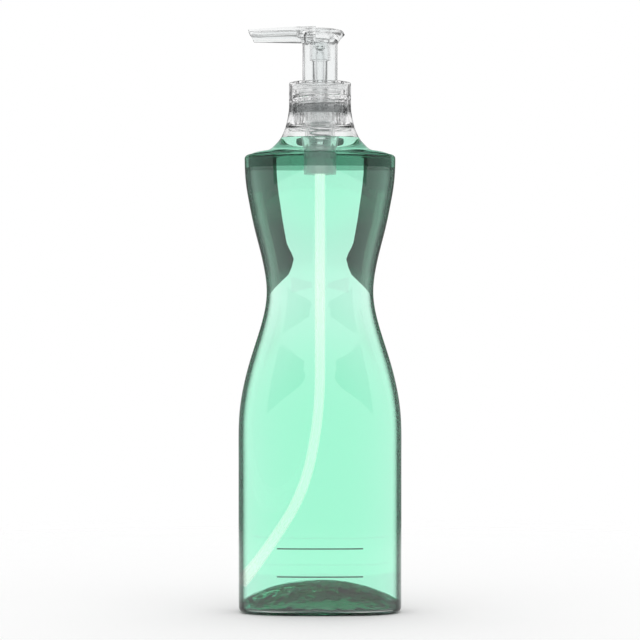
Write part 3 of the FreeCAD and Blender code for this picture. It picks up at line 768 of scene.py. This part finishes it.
guide = turned(
    "stem_guide_ring",
    (
        (GUIDE_BORE, GUIDE_BOTTOM),
        (BARREL_BORE, GUIDE_BOTTOM),
        (BARREL_BORE, CUP_FLOOR),
        (GUIDE_RIM, CUP_FLOOR),
        (GUIDE_RIM, GUIDE_RIM_TOP),
        (GUIDE_SLEEVE, GUIDE_RIM_TOP),
        (GUIDE_SLEEVE, GUIDE_TOP),
        (GUIDE_BORE, GUIDE_TOP),
    ),
)
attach(guide, "pump_body")
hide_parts("stem_guide")
guide.data.materials.append(
    milky_plastic("satin_guide_plastic", (0.9, 0.92, 0.92, 1), 0.08, 0.4, 0.25)
)


# Pump head: pad, skirt, stem socket and nozzle, moulded in one piece of clear plastic. It is pressed onto
# the stem, and the soap runs from the stem's bore along the channel under the blade.

HEAD_TOP = 291.4
PAD_RADIUS = 12.4
PAD_BEVEL = 1.15
SKIRT_RADIUS = 8.75
SKIRT_WALL = 1.0
SKIRT_BOTTOM = 261.9
PAD_UNDERSIDE = HEAD_TOP - 2.0
SOCKET_WALL = 1.1
SOCKET_BOTTOM = 275.5
STEM_TOP = 284.9
STEM_RADIUS = 4.0
NOZZLE_REACH = 35.9
TIP_TOP = 290.3
TIP_HALF_WIDTH = 4.6
ROOT_RIM = 285.6
TIP_RIM = 288.0
CHANNEL_BOTTOM = 284.6
CHANNEL_HALF_WIDTH = 2.7
CHANNEL_ROUNDING = 2.1
CHANNEL_FALL = 0.55
CHANNEL_ROOT = -5.0
MOUTH_SLANT = 2.9
RIM_WALL = 1.2
BLADE_CUTS = range(-32, -7, 4)
BLADE_CROWN = 0.9
BORE_RADIUS = 1.5
BORE_HEIGHT = 286.9

head = turned(
    "pump_head_body",
    (
        (0, HEAD_TOP),
        (3.2, HEAD_TOP - 0.07),
        (PAD_RADIUS / 2, HEAD_TOP - 0.3),
        (9.0, HEAD_TOP - 0.68),
        (PAD_RADIUS - PAD_BEVEL, HEAD_TOP - 1.2),
        (PAD_RADIUS, HEAD_TOP - 3.0),
        (PAD_RADIUS - 2.3, HEAD_TOP - 5.4),
        (SKIRT_RADIUS, HEAD_TOP - 7.7),
        (SKIRT_RADIUS, SKIRT_BOTTOM),
        (SKIRT_RADIUS - SKIRT_WALL, SKIRT_BOTTOM),
        (SKIRT_RADIUS - SKIRT_WALL, PAD_UNDERSIDE),
        (STEM_RADIUS + SOCKET_WALL, PAD_UNDERSIDE),
        (STEM_RADIUS + SOCKET_WALL, SOCKET_BOTTOM),
        (STEM_RADIUS, SOCKET_BOTTOM),
        (STEM_RADIUS, STEM_TOP + 0.2),
        (0, STEM_TOP + 0.2),
    ),
    edge=0.25,
)


def roof(x):
    """Height of the nozzle's top at a distance along it."""
    share = max(1 + x / NOZZLE_REACH, 0)
    return TIP_TOP + (HEAD_TOP - TIP_TOP) * math.sin(share * math.pi / 2) ** BLADE_CROWN


def wedge(name, ends, x_cuts):
    """A block between two end faces, cut across at x_cuts. An end is (x at its top, x at its bottom,
    half width, top, bottom)."""
    bpy.ops.object.select_all(action="DESELECT")
    bpy.ops.mesh.primitive_cube_add(size=2, location=(0, 0, 0))
    piece = bpy.context.object
    piece.name = name
    for vertex in piece.data.vertices:
        x_top, x_bottom, half, top, bottom = ends[0] if vertex.co.x < 0 else ends[1]
        upper = vertex.co.z > 0
        side = 1 if vertex.co.y > 0 else -1
        vertex.co = ((x_top if upper else x_bottom) * MM, side * half * MM, (top if upper else bottom) * MM)
    bpy.ops.object.mode_set(mode="EDIT")
    for x in x_cuts:
        bpy.ops.mesh.select_all(action="SELECT")
        bpy.ops.mesh.bisect(plane_co=(x * MM, 0, 0), plane_no=(1, 0, 0))
    bpy.ops.object.mode_set(mode="OBJECT")
    return piece


def combine(target, tool, operation):
    """Adds the tool to the target, or cuts it out."""
    bpy.ops.object.select_all(action="DESELECT")
    target.select_set(True)
    bpy.context.view_layer.objects.active = target
    bpy.ops.object.modifier_add(type="BOOLEAN")
    modifier = target.modifiers[-1]
    modifier.operation = operation
    modifier.solver = "EXACT"
    modifier.object = tool
    bpy.ops.object.modifier_apply(modifier=modifier.name)
    bpy.data.objects.remove(tool)


radius = PAD_RADIUS - PAD_BEVEL
reach = math.hypot(NOZZLE_REACH, TIP_HALF_WIDTH)
bearing = math.atan2(TIP_HALF_WIDTH, NOZZLE_REACH) + math.acos(radius / reach)
touch_x = -radius * math.cos(bearing)
touch_y = radius * math.sin(bearing)
mouth_x = -NOZZLE_REACH + MOUTH_SLANT
rim_x = -NOZZLE_REACH + (TIP_TOP - TIP_RIM) * MOUTH_SLANT / (TIP_TOP - CHANNEL_BOTTOM)
plate = wedge(
    "nozzle_plate",
    (
        (-NOZZLE_REACH, rim_x, TIP_HALF_WIDTH, TIP_TOP, TIP_RIM),
        (touch_x, touch_x, touch_y, HEAD_TOP, ROOT_RIM),
    ),
    BLADE_CUTS,
)
for vertex in plate.data.vertices:
    if vertex.co.z > (TIP_RIM + 1.8) * MM:
        vertex.co.z = roof(vertex.co.x / MM) * MM
bpy.ops.object.mode_set(mode="EDIT")
mesh = bmesh.from_edit_mesh(plate.data)
mesh.faces.ensure_lookup_table()
for face in mesh.faces:
    face.select_set(face.normal.z < -0.5)
bmesh.update_edit_mesh(plate.data)
bpy.ops.mesh.inset(thickness=RIM_WALL * MM, use_boundary=True, use_even_offset=True)
bpy.ops.mesh.extrude_region_move(TRANSFORM_OT_translate={"value": (0, 0, 0.0005)})
for vertex in mesh.verts:
    if vertex.select:
        vertex.co.z = (roof(vertex.co.x / MM) - RIM_WALL - 0.3) * MM
bmesh.update_edit_mesh(plate.data)
bpy.ops.object.mode_set(mode="OBJECT")
bpy.ops.object.modifier_add(type="BEVEL")
plate.modifiers[-1].width = 0.35 * MM
plate.modifiers[-1].segments = 3
plate.modifiers[-1].limit_method = "ANGLE"
plate.modifiers[-1].angle_limit = math.radians(50)
bpy.ops.object.modifier_apply(modifier=plate.modifiers[-1].name)

channel = wedge(
    "nozzle_channel",
    (
        (rim_x - 0.2, mouth_x, CHANNEL_HALF_WIDTH, TIP_RIM + 1.0, CHANNEL_BOTTOM),
        (CHANNEL_ROOT, CHANNEL_ROOT, CHANNEL_HALF_WIDTH, HEAD_TOP - 1.6, CHANNEL_BOTTOM - CHANNEL_FALL),
    ),
    [],
)
bpy.ops.object.mode_set(mode="EDIT")
mesh = bmesh.from_edit_mesh(channel.data)
for edge in mesh.edges:
    low_edge = all(vertex.co.z < (CHANNEL_BOTTOM + 0.1) * MM for vertex in edge.verts)
    along = abs(edge.verts[0].co.x - edge.verts[1].co.x) > 5 * MM
    edge.select_set(low_edge and along)
bmesh.update_edit_mesh(channel.data)
bpy.ops.mesh.bevel(offset=CHANNEL_ROUNDING * MM, segments=6)
bpy.ops.object.mode_set(mode="OBJECT")

combine(head, plate, "UNION")
combine(head, channel, "UNION")
for start, length, turn in (
    ((-NOZZLE_REACH / 2, 0, BORE_HEIGHT), NOZZLE_REACH, math.pi / 2),
    ((0, 0, (BORE_HEIGHT + STEM_TOP) / 2), BORE_HEIGHT - STEM_TOP + 0.4, 0),
):
    bpy.ops.object.select_all(action="DESELECT")
    bpy.ops.mesh.primitive_cylinder_add(
        vertices=40,
        radius=BORE_RADIUS * MM,
        depth=length * MM,
        location=[c * MM for c in start],
        rotation=(0, turn, 0),
    )
    combine(head, bpy.context.object, "DIFFERENCE")
polish(head, 25)
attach(head, "head_body")
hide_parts("pump_head")
head.data.materials.append(
    clear_plastic("clear_head_plastic", (0.95, 0.96, 0.96, 1), PUMP_IOR, 0.08, 0.01, PUMP_PAINTED_EDGE_SHADE)
)


# Stem: a hollow rod of clear plastic, pressed into the head. Its upper end holds the outlet valve's seat,
# and a bead at its foot carries the piston.

STEM_BOTTOM = 243.6
STEM_SHOULDER = 248.6
STEM_BORE = 1.8
STEM_FOOT_RADIUS = 3.0
BEAD_RADIUS = 3.5
BEAD_TOP = 244.4
OUTLET_SEAT = 280.4
OUTLET_SEAT_BORE = 1.4
OUTLET_WELL = 2.6
STEM_CLEARANCE = 0.03

stem = turned(
    "stem_rod",
    (
        (STEM_BORE, STEM_BOTTOM),
        (STEM_FOOT_RADIUS, STEM_BOTTOM),
        (BEAD_RADIUS, STEM_BOTTOM + 0.5),
        (BEAD_RADIUS, BEAD_TOP),
        (STEM_FOOT_RADIUS, BEAD_TOP),
        (STEM_FOOT_RADIUS, STEM_SHOULDER),
        (STEM_RADIUS - STEM_CLEARANCE, STEM_SHOULDER),
        (STEM_RADIUS - STEM_CLEARANCE, STEM_TOP),
        (OUTLET_WELL, STEM_TOP),
        (OUTLET_WELL, OUTLET_SEAT + 1.2),
        (OUTLET_SEAT_BORE, OUTLET_SEAT),
        (OUTLET_SEAT_BORE, OUTLET_SEAT - 1.0),
        (STEM_BORE, OUTLET_SEAT - 1.5),
    ),
)
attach(stem, "head_body")
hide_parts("stem")
stem.data.materials.append(
    clear_plastic("clear_stem_plastic", (0.95, 0.96, 0.96, 1), PUMP_IOR, 0.02, 0.01, PUMP_PAINTED_EDGE_SHADE)
)


# Piston: a seal moulded in soft milky plastic, with a lip at either end that wipes the barrel. It is
# snapped over the stem's bead and held under its shoulder.

PISTON_BORE = 3.06
PISTON_WAIST = 5.54
PISTON_LIP = 6.54
PISTON_BOTTOM = 244.5
PISTON_TOP = 248.5
LIP_HEIGHT = 0.9
LIP_TAPER = 1.35

seal = turned(
    "piston_seal",
    (
        (PISTON_BORE, PISTON_BOTTOM),
        (PISTON_WAIST, PISTON_BOTTOM),
        (PISTON_LIP, PISTON_BOTTOM),
        (PISTON_LIP, PISTON_BOTTOM + LIP_HEIGHT),
        (PISTON_WAIST, PISTON_BOTTOM + LIP_TAPER),
        (PISTON_WAIST, PISTON_TOP - LIP_TAPER),
        (PISTON_LIP, PISTON_TOP - LIP_HEIGHT),
        (PISTON_LIP, PISTON_TOP),
        (PISTON_BORE, PISTON_TOP),
    ),
)
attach(seal, "piston_body")
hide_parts("piston")
seal.data.materials.append(milky_plastic("milky_piston", (0.82, 0.84, 0.84, 1), 0.3, 0.6, 0.3))


# Spring: drawn steel wire, wound with closed ends. It stands on the chamber's floor and pushes the
# piston up.

SPRING_BOTTOM = FLOOR_TOP
SPRING_TOP = PISTON_BOTTOM
SPRING_RADIUS = 5.0
WIRE_RADIUS = 0.4
WIRE_SIDES = 10
COILS = 8
STEPS_A_COIL = 40
CLOSED_GAP = 0.02

bpy.ops.object.select_all(action="DESELECT")
bpy.ops.mesh.primitive_circle_add(
    vertices=WIRE_SIDES,
    radius=WIRE_RADIUS * MM,
    fill_type="NOTHING",
    location=(SPRING_RADIUS * MM, 0, 0),
    rotation=(math.pi / 2, 0, 0),
)
spring = bpy.context.object
spring.name = "return_spring"
bpy.ops.object.transform_apply(location=True, rotation=True, scale=True)
bpy.ops.object.modifier_add(type="SCREW")
screw = spring.modifiers[-1]
screw.angle = 2 * math.pi * COILS
screw.screw_offset = COILS
screw.steps = STEPS_A_COIL * COILS
screw.render_steps = STEPS_A_COIL * COILS
bpy.ops.object.modifier_apply(modifier=screw.name)
rise = SPRING_TOP - SPRING_BOTTOM - 2 * WIRE_RADIUS
closed = 2 * WIRE_RADIUS + CLOSED_GAP
open_pitch = (rise - 2 * closed) / (COILS - 2)
bpy.ops.object.mode_set(mode="EDIT")
bpy.ops.mesh.select_all(action="DESELECT")
bpy.ops.mesh.select_non_manifold()
bpy.ops.mesh.edge_face_add()
bpy.ops.mesh.select_all(action="SELECT")
bpy.ops.mesh.normals_make_consistent(inside=False)
bpy.ops.object.mode_set(mode="OBJECT")
for vertex in spring.data.vertices:
    bearing = math.atan2(vertex.co.y, vertex.co.x) / (2 * math.pi)
    coil = vertex.co.z - bearing
    turns = round(coil) + bearing
    lift = min(turns, 1) * closed + min(max(turns - 1, 0), COILS - 2) * open_pitch
    lift += max(turns - (COILS - 1), 0) * closed
    in_section = vertex.co.z - turns
    vertex.co.z = (SPRING_BOTTOM + WIRE_RADIUS + lift) * MM + in_section
bpy.ops.object.shade_smooth()
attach(spring, "pump_body")
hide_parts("spring")
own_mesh(spring)

steel = bpy.data.materials.new("drawn_spring_steel")
steel_finish = Finish(steel)
place = steel_finish.value("ShaderNodeTexCoord", {}, {}, "Object")
drawn = steel_finish.value("ShaderNodeTexNoise", {}, {"Vector": place, "Scale": 900.0, "Detail": 3.0})
steel_surface = steel_finish.value(
    "ShaderNodeBsdfPrincipled",
    {},
    {"Base Color": (0.62, 0.63, 0.64, 1), "Metallic": 1.0, "Roughness": 0.2 + drawn * 0.2},
)
steel_finish.node("ShaderNodeOutputMaterial", {}, {"Surface": steel_surface})
spring.data.materials.append(steel)


# Check balls: two ground glass balls, one over the tube and one in the stem. They lie loose on their
# seats, and the pump's strokes lift them.

ball_glass = clear_plastic("polished_ball_glass", (0.97, 0.99, 0.98, 1), 1.52, 0.01, 0.0)
for name in ("inlet_ball", "outlet_ball"):
    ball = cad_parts[name]
    ball.data.materials.clear()
    ball.data.materials.append(ball_glass)


# Dip tube: milky extruded tube, pushed into the housing's socket. It hangs straight, then bows to the
# lower left corner, and its end is cut on a slant.

TUBE_RADIUS = 2.5
TUBE_BORE = 1.8
TUBE_CORNERS = ((0, 223.0), (0, 100.0), (-7.6, 60.0), (-35.6, 14.0))
BEND_SHARE = 0.45
ARC_STEPS = 24
STRAIGHT_SHARE = 0.8
STRAIGHT_STEPS = 12
TUBE_SIDES = 32


def tube_line():
    """Points along the tube's middle line, with the direction of travel at each: runs and tangent arcs."""
    corners = [np.array(corner) for corner in TUBE_CORNERS]
    straight = corners[1] - corners[0]
    line = []
    for step in range(STRAIGHT_STEPS + 1):
        line.append((corners[0] + straight * STRAIGHT_SHARE * step / STRAIGHT_STEPS, straight))
    for before, corner, after in zip(corners, corners[1:], corners[2:]):
        reach = BEND_SHARE * min(math.dist(before, corner), math.dist(corner, after))
        incoming = (corner - before) / math.dist(before, corner)
        outgoing = (after - corner) / math.dist(corner, after)
        for step in range(ARC_STEPS + 1):
            share = step / ARC_STEPS
            start = corner - incoming * reach * (1 - share)
            end = corner + outgoing * reach * share
            line.append((start + (end - start) * share, incoming + (outgoing - incoming) * share))
    line.append((corners[-1], outgoing))
    return [(point, heading / np.linalg.norm(heading)) for point, heading in line]


line = tube_line()
bpy.ops.object.select_all(action="DESELECT")
rows = 2 * len(line)
bpy.ops.mesh.primitive_grid_add(x_subdivisions=TUBE_SIDES, y_subdivisions=rows, size=2)
tube = bpy.context.object
tube.name = "dip_tube_hose"
for vertex in tube.data.vertices:
    turn = math.pi * (vertex.co.x + 1)
    row = round((vertex.co.y + 1) / 2 * rows) % rows
    outside = row < len(line)
    point, heading = line[row if outside else 2 * len(line) - 1 - row]
    size = TUBE_RADIUS if outside else TUBE_BORE
    x = point[0] - heading[1] * math.cos(turn) * size
    z = point[1] + heading[0] * math.cos(turn) * size
    vertex.co = (x * MM, math.sin(turn) * size * MM, z * MM)
bpy.ops.object.mode_set(mode="EDIT")
bpy.ops.mesh.select_all(action="SELECT")
bpy.ops.mesh.remove_doubles(threshold=1e-6)
bpy.ops.mesh.normals_make_consistent(inside=False)
bpy.ops.object.mode_set(mode="OBJECT")
polish(tube, 40)
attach(tube, "pump_body")
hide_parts("dip_tube")
# Painted light: the tube glows strongly, for its pale look in the soap.
tube.data.materials.append(
    milky_plastic("milky_tube", (1.0, 0.93, 0.9, 1), 0.22, 0.75, 0.68)
)


# Printed rules: two thin lines of grey ink, screened on the front of the bottle. Each follows the wall's
# curve and stands a hair's breadth out of it.

RULE_HALF_LENGTH = 21.2
RULE_THICKNESS = 0.6
RULE_HEIGHTS = (33.2, 19.4)
RULE_PARTS = 24
INK_PROUD = 0.02

ink = bpy.data.materials.new("grey_ink")
ink_finish = Finish(ink)
place = ink_finish.value("ShaderNodeTexCoord", {}, {}, "Object")
speckle = ink_finish.value("ShaderNodeTexNoise", {}, {"Vector": place, "Scale": 1500.0, "Detail": 2.0})
ink_colour = ink_finish.tinted(speckle, (0.06, 0.075, 0.072, 1), (0.1, 0.115, 0.11, 1))
ink_surface = ink_finish.value("ShaderNodeBsdfPrincipled", {}, {"Base Color": ink_colour, "Roughness": 0.5})
ink_finish.node("ShaderNodeOutputMaterial", {}, {"Surface": ink_surface})
for number, rule_height in enumerate(RULE_HEIGHTS, 1):
    bpy.ops.object.select_all(action="DESELECT")
    bpy.ops.mesh.primitive_cube_add(size=2, location=(0, 0, 0))
    rule = bpy.context.object
    rule.name = "printed_rule_%d" % number
    bpy.ops.object.mode_set(mode="EDIT")
    for i in range(1, RULE_PARTS):
        bpy.ops.mesh.select_all(action="SELECT")
        bpy.ops.mesh.bisect(plane_co=(2 * i / RULE_PARTS - 1, 0, 0), plane_no=(1, 0, 0))
    bpy.ops.object.mode_set(mode="OBJECT")
    wide, deep, power = FOOT
    for vertex in rule.data.vertices:
        x = vertex.co.x * RULE_HALF_LENGTH
        front = deep * (1 - (abs(x) / wide) ** power) ** (1 / power)
        y = -front - INK_PROUD if vertex.co.y < 0 else -front + INK_PROUD
        vertex.co = (x * MM, y * MM, (rule_height + vertex.co.z * RULE_THICKNESS / 2) * MM)
    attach(rule, "bottle_body")
    rule.data.materials.append(ink)


# Floor: a white studio floor that melts into the backdrop and keeps the bottle's shadow. Under the
# footprint a dark green shadow is painted into its colour, for the light that the soap lets through.

FLOOR_RADIUS = 0.7
FLOOR_FADE = (0.3, 0.65)
FOOTPRINT = (0.039, 0.0205)
FOOTPRINT_EDGE = (0.8, 1.0)
# Painted shadow: the dark green under the bottle's footprint.
FOOTPRINT_PAINTED_SHADOW = (0.12, 0.2, 0.16, 1)
WHITE = (1.0, 1.0, 1.0, 1)

bpy.ops.object.select_all(action="DESELECT")
bpy.ops.mesh.primitive_circle_add(vertices=96, radius=FLOOR_RADIUS, fill_type="NGON", location=(0, 0, 0))
floor = bpy.context.object
floor.name = "floor"
floor_material = bpy.data.materials.new("pale_floor")
floor_finish = Finish(floor_material)
place = floor_finish.value("ShaderNodeTexCoord", {}, {}, "Object")
away = floor_finish.value("ShaderNodeVectorMath", {"operation": "LENGTH"}, {0: place}, "Value")
fade = floor_finish.smooth_step(away, *FLOOR_FADE)
outside = floor_finish.smooth_step(oval(floor_finish, place, FOOTPRINT), *FOOTPRINT_EDGE)
floor_colour = floor_finish.tinted(outside, FOOTPRINT_PAINTED_SHADOW, WHITE)
white = floor_finish.value("ShaderNodeBsdfDiffuse", {}, {"Color": floor_colour})
gone = floor_finish.value("ShaderNodeBsdfTransparent", {}, {})
floor_path = floor_finish.node("ShaderNodeLightPath", {}, {})
bent = Value(floor_finish, floor_path.outputs["Is Transmission Ray"])
hidden = 1 - (1 - fade) * (1 - bent * outside)
floor_surface = floor_finish.value("ShaderNodeMixShader", {}, {0: hidden, 1: white, 2: gone})
floor_finish.node("ShaderNodeOutputMaterial", {}, {"Surface": floor_surface})
floor.data.materials.append(floor_material)


# Studio cards: two grey cards stand behind the bottle's shoulders and two before them. The clear plastic
# and the soap bend their image in, which draws the dark panels at the bottle's sides.

CARD_AWAY = 0.5
CARD_GREY_FROM = (0.04, 0.03)
CARD_GREY_TO = (0.21, 0.2)
CARD_OUTLINE = (
    (0.057, 0.285),
    (0.0575, 0.262),
    (0.047, 0.25),
    (0.043, 0.241),
    (0.053, 0.23),
    (0.07, 0.2185),
    (0.09, 0.213),
    (0.134, 0.203),
    (0.21, 0.187),
    (0.4, 0.145),
    (0.4, 0.4),
)

card_paint = bpy.data.materials.new("grey_card")
card_finish = Finish(card_paint)
place = card_finish.value("ShaderNodeTexCoord", {}, {}, "Object")
across = card_finish.value("ShaderNodeSeparateXYZ", {}, {0: place}, "X")
outwards = card_finish.value("ShaderNodeMath", {"operation": "ABSOLUTE"}, {0: across})
grey = card_finish.value(
    "ShaderNodeMapRange",
    {},
    {
        "Value": outwards,
        "From Min": CARD_GREY_FROM[0],
        "To Min": CARD_GREY_FROM[1],
        "From Max": CARD_GREY_TO[0],
        "To Max": CARD_GREY_TO[1],
    },
)
card_light = card_finish.value("ShaderNodeEmission", {}, {"Color": WHITE, "Strength": grey})
card_finish.node("ShaderNodeOutputMaterial", {}, {"Surface": card_light})
for away in (CARD_AWAY, -CARD_AWAY):
    for side in (1, -1):
        bpy.ops.object.select_all(action="DESELECT")
        bpy.ops.mesh.primitive_circle_add(vertices=len(CARD_OUTLINE), radius=1, fill_type="NGON")
        card = bpy.context.object
        for vertex, (x, z) in zip(card.data.vertices, CARD_OUTLINE):
            vertex.co = (side * x, away, z)
        card.data.materials.append(card_paint)
        card.visible_camera = False
        card.visible_diffuse = False
        card.visible_shadow = False


# Light and camera: soft white light comes from all round. The ceiling is dimmer where the plastic bends
# it in, and all of it is dimmer where it is mirrored. A long lens looks from the front.

CEILING = (0.36, 0.5)
DIM_CEILING = 0.22
DIM_MIRRORED = 0.3
CAMERA_AWAY = 1.2
CAMERA_HEIGHT = 0.136
CAMERA_LENS = 135
CAMERA_SHIFT = 0.0306
BOUNCES = 40

world = bpy.data.worlds.new("studio")
bpy.context.scene.world = world
studio = Finish(world)
direction = studio.value("ShaderNodeTexCoord", {}, {}, "Generated")
upwards = studio.value("ShaderNodeSeparateXYZ", {}, {0: direction}, "Z")
above = studio.smooth_step(upwards, *CEILING)
level = 1 - (1 - DIM_CEILING) * above
path = studio.node("ShaderNodeLightPath", {}, {})
bent = Value(studio, path.outputs["Is Transmission Ray"])
glossy = Value(studio, path.outputs["Is Glossy Ray"])
mirrored = glossy * (1 - bent)
strength = 1 - bent * (1 - level) - mirrored * (1 - DIM_MIRRORED * level)
sky = studio.value("ShaderNodeBackground", {}, {"Color": WHITE, "Strength": strength})
studio.node("ShaderNodeOutputWorld", {}, {"Surface": sky})

camera_data = bpy.data.cameras.new("camera")
camera = bpy.data.objects.new("camera", camera_data)
bpy.context.scene.collection.objects.link(camera)
camera.location = (0, -CAMERA_AWAY, CAMERA_HEIGHT)
camera.rotation_euler = (math.radians(90), 0, 0)
camera_data.lens = CAMERA_LENS
camera_data.sensor_width = 36
camera_data.shift_y = CAMERA_SHIFT
bpy.context.scene.camera = camera

scene = bpy.context.scene
scene.view_settings.view_transform = "Standard"
scene.cycles.max_bounces = BOUNCES
scene.cycles.transmission_bounces = BOUNCES
scene.cycles.transparent_max_bounces = BOUNCES
